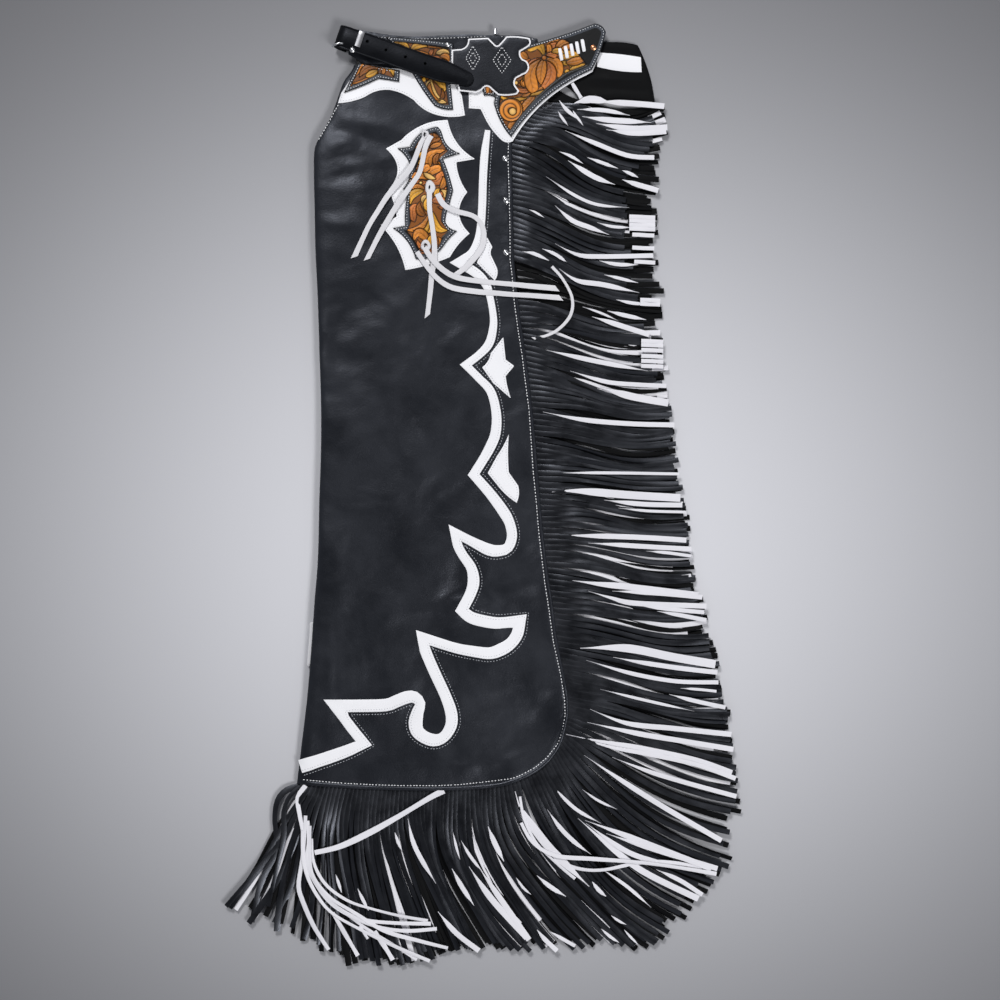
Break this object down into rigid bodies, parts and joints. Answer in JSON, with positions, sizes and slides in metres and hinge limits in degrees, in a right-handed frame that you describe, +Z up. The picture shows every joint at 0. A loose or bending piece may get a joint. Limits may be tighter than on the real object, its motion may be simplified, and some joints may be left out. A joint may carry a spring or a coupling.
{
  "type": "leather chaps, folded in half and laid flat",
  "caption": "Black fringed leather chaps with a white scrolled applique band, carved yoke, laces and a buckled waist strap, folded flat on their side.",
  "frame": {"origin": "on the surface the chaps lie on, near the middle of the folded pile", "axes": "+Y up the leg towards the belt, +X across the leg towards the fringe, +Z up from the surface"},
  "size_m": [0.6593, 1.2076, 0.0257],
  "materials": {
    "black_leather": "soft black leather with a low sheen",
    "inner_leather": "matt flesh side of black leather",
    "white_leather": "smooth white leather",
    "lace_leather": "pale grey lace leather",
    "carved_leather": "tan leather carved with leaves and flowers, darker in the cuts",
    "stitched_border": "black leather border with pale double stitching",
    "steel": "plated steel snaps, rivets and keeper"
  },
  "bodies": {
    "root": {"folded_layers": "inner_leather", "upper_leg": "black_leather", "lower_yoke": "black_leather", "belt_band": "black_leather", "centre_patch": "black_leather", "strap": "black_leather", "white_band": "white_leather", "scroll_leaf_upper": "white_leather", "scroll_star": "white_leather", "scroll_leaf_lower": "white_leather", "thigh_patch_white": "white_leather", "yoke_left_white": "white_leather", "yoke_right_white": "white_leather", "centre_piping": "white_leather", "lower_yoke_band": "white_leather", "thigh_patch_carved": "carved_leather", "yoke_lobe_a_carved": "carved_leather", "yoke_lobe_b_carved": "carved_leather", "belt_carved_strip": "carved_leather", "yoke_right_carved": "carved_leather", "thigh_patch_border": "stitched_border", "yoke_lobe_a_border": "stitched_border", "yoke_lobe_b_border": "stitched_border", "yoke_right_border": "stitched_border", "lace_top_a": "lace_leather", "lace_top_b": "lace_leather", "lace_middle_a": "lace_leather", "lace_middle_b": "lace_leather", "lace_low_a": "lace_leather", "lace_low_b": "lace_leather", "lace_curl": "lace_leather", "strap_keeper": "steel", "strap_buckle": "steel", "strap_rivet": "steel", "wing_rivet": "steel", "belt_pin": "steel", "snap_1": "steel", "snap_2": "steel", "snap_3": "steel", "fringe_under_upper_side": "black_leather", "fringe_under_side": "black_leather", "fringe_under_corner": "black_leather", "fringe_under_hem": "black_leather", "fringe_white_upper_side": "white_leather", "fringe_white_side": "white_leather", "fringe_white_corner": "white_leather", "fringe_white_hem": "white_leather", "fringe_top_upper_side": "black_leather", "fringe_top_side": "black_leather", "fringe_top_corner": "black_leather", "fringe_top_hem": "black_leather"}
  },
  "joints": []
}
